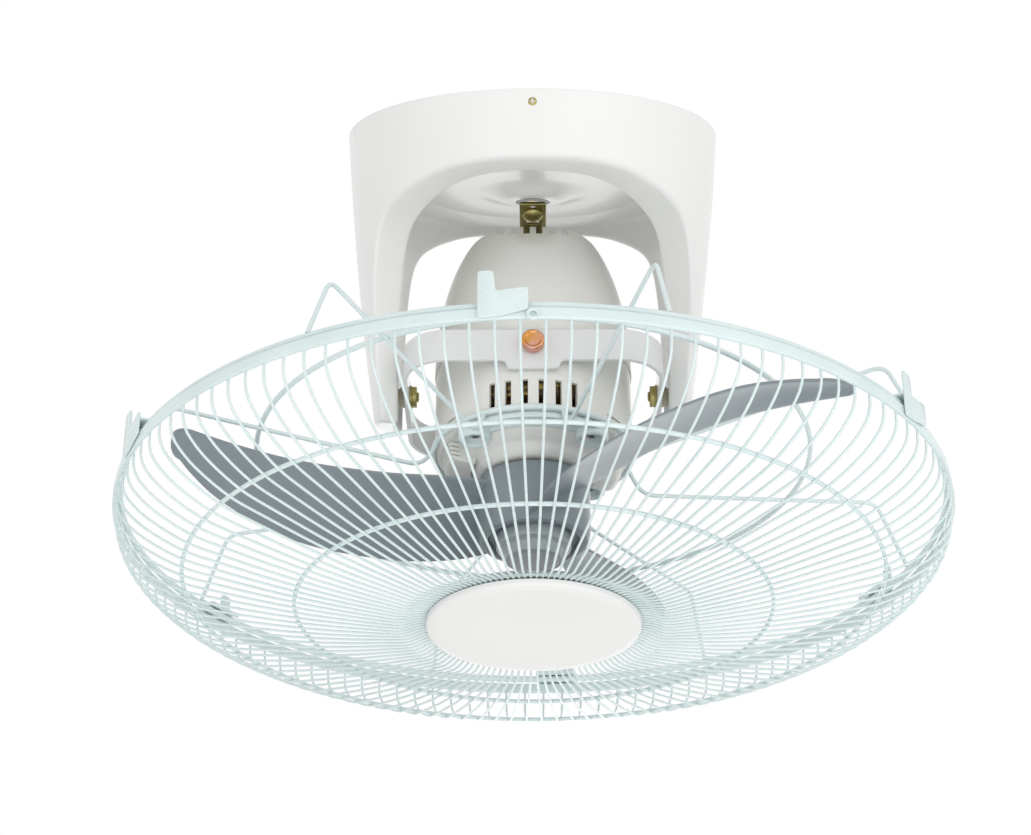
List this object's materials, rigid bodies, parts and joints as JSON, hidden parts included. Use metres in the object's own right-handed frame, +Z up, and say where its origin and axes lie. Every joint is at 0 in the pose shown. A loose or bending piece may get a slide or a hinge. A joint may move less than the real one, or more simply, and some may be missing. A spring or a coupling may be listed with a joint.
{
  "type": "orbital ceiling fan",
  "caption": "Ceiling-hung orbiting fan: a two-legged canopy holds a gimbal ring, motor head, swept-blade impeller and round wire guard that circles on a crank.",
  "frame": {"origin": "centre of the canopy's top face, where it meets the ceiling", "axes": "+Z up into the ceiling, +X to the right and -Y towards the viewer of the picture, the side to which the head leans"},
  "size_m": [0.446, 0.4271, 0.3274],
  "materials": {
    "white_shell": "glossy warm white ABS moulding",
    "motor_paint": "satin cream-white enamel",
    "ring_paint": "satin white-grey enamel",
    "guard_paint": "glossy pale ice-green powder coat",
    "impeller_plastic": "satin translucent-grey moulding",
    "yellow_zinc": "yellow passivated zinc plate",
    "orange_zinc": "iridescent orange passivated zinc plate",
    "steel": "bare or zinc-plated steel",
    "cast_alloy": "die-cast alloy",
    "bearing_bronze": "sintered bronze",
    "copper_wire": "varnished copper winding",
    "nylon": "natural nylon",
    "dark_bush": "black acetal"
  },
  "bodies": {
    "canopy": {"canopy_shell": "white_shell", "hanger_bracket": "steel", "canopy_screw_front": "yellow_zinc", "canopy_screw_back": "yellow_zinc", "terminal_block": "nylon", "swivel_bush": "dark_bush", "swivel_pin": "yellow_zinc", "side_bolt_left": "yellow_zinc", "side_bolt_right": "yellow_zinc", "side_bush_left": "nylon", "side_bush_right": "nylon"},
    "gimbal": {"gimbal_ring": "ring_paint"},
    "head": {"roll_bolt_front": "orange_zinc", "roll_bolt_back": "orange_zinc", "rear_dome": "motor_paint", "motor_housing": "motor_paint", "front_cover": "motor_paint", "stator_core": "steel", "stator_winding": "copper_wire", "front_bearing": "bearing_bronze", "rear_bearing": "bearing_bronze", "gearbox_case": "cast_alloy", "rear_hub_ring": "guard_paint", "rear_mid_ring": "guard_paint", "rear_rim": "guard_paint", "rear_rib_1": "guard_paint", "rear_rib_2": "guard_paint", "rear_rib_3": "guard_paint", "rear_rib_4": "guard_paint", "rear_rib_5": "guard_paint", "rear_rib_6": "guard_paint", "rear_rib_7": "guard_paint", "rear_rib_8": "guard_paint", "guard_bracket_front": "guard_paint", "guard_bracket_back": "guard_paint", "guard_screw_1": "steel", "guard_screw_2": "steel", "guard_screw_3": "steel", "guard_screw_4": "steel", "front_guard": "guard_paint", "front_hoop_outer": "guard_paint", "front_hoop_inner": "guard_paint", "badge": "white_shell", "badge_plate": "steel", "badge_screw": "steel"},
    "rotor": {"motor_shaft": "steel", "rotor_core": "steel", "impeller": "impeller_plastic", "blade_nut": "impeller_plastic"},
    "cross_shaft": {"cross_gear": "nylon"},
    "idler": {"idler_gear": "nylon"},
    "crank": {"output_gear": "nylon", "crank_arm": "yellow_zinc", "crank_screw": "yellow_zinc"},
    "clip_1": {"rim_clip_1": "guard_paint"},
    "clip_2": {"rim_clip_2": "guard_paint"},
    "clip_3": {"rim_clip_3": "guard_paint"},
    "clip_4": {"rim_clip_4": "guard_paint"},
    "clip_5": {"rim_clip_5": "guard_paint"},
    "clip_6": {"rim_clip_6": "guard_paint"}
  },
  "joints": [
    {"name": "gimbal_tilt", "type": "hinge", "parent": "canopy", "child": "gimbal", "pos_m": [0, 0, -0.1466], "axis": [1, 0, 0], "range_deg": [0, 42.5]},
    {"name": "head_roll", "type": "hinge", "parent": "gimbal", "child": "head", "pos_m": [0, 0, -0.1466], "axis": [0, 0.932, -0.3624], "range_deg": [-16, 16]},
    {"name": "rotor_spin", "type": "hinge", "parent": "head", "child": "rotor", "pos_m": [0, 0, -0.1466], "axis": [0, 0.3624, 0.932], "continuous": true},
    {"name": "cross_spin", "type": "hinge", "parent": "head", "child": "cross_shaft", "pos_m": [0.016, 0.02211, -0.08975], "axis": [0, 0.932, -0.3624], "continuous": true},
    {"name": "idler_spin", "type": "hinge", "parent": "head", "child": "idler", "pos_m": [0.005, 0.03516, -0.09482], "axis": [0, 0.3624, 0.932], "continuous": true},
    {"name": "crank_turn", "type": "hinge", "parent": "head", "child": "crank", "pos_m": [0, 0, -0.1466], "axis": [0, 0.3624, 0.932], "continuous": true},
    {"name": "clip_1_swing", "type": "hinge", "parent": "head", "child": "clip_1", "pos_m": [-0.01367, -0.23946, -0.14575], "axis": [0.9981, -0.0569, 0.0221], "range_deg": [0, 60]},
    {"name": "clip_2_swing", "type": "hinge", "parent": "head", "child": "clip_2", "pos_m": [0.18671, -0.14635, -0.18196], "axis": [0.5519, 0.7772, -0.3022], "range_deg": [0, 60]},
    {"name": "clip_3_swing", "type": "hinge", "parent": "head", "child": "clip_3", "pos_m": [0.20038, 0.06194, -0.26296], "axis": [-0.4462, 0.8341, -0.3244], "range_deg": [0, 60]},
    {"name": "clip_4_swing", "type": "hinge", "parent": "head", "child": "clip_4", "pos_m": [0.01367, 0.17712, -0.30775], "axis": [-0.9981, 0.0569, -0.0221], "range_deg": [0, 60]},
    {"name": "clip_5_swing", "type": "hinge", "parent": "head", "child": "clip_5", "pos_m": [-0.18671, 0.08401, -0.27154], "axis": [-0.5519, -0.7772, 0.3022], "range_deg": [0, 60]},
    {"name": "clip_6_swing", "type": "hinge", "parent": "head", "child": "clip_6", "pos_m": [-0.20038, -0.12428, -0.19054], "axis": [0.4462, -0.8341, 0.3244], "range_deg": [0, 60]}
  ],
  "couplings": [
    {"joint": "cross_spin", "follows": "rotor_spin", "ratio": 0.083333},
    {"joint": "idler_spin", "follows": "rotor_spin", "ratio": 0.008333},
    {"joint": "crank_turn", "follows": "rotor_spin", "ratio": -0.002381}
  ]
}
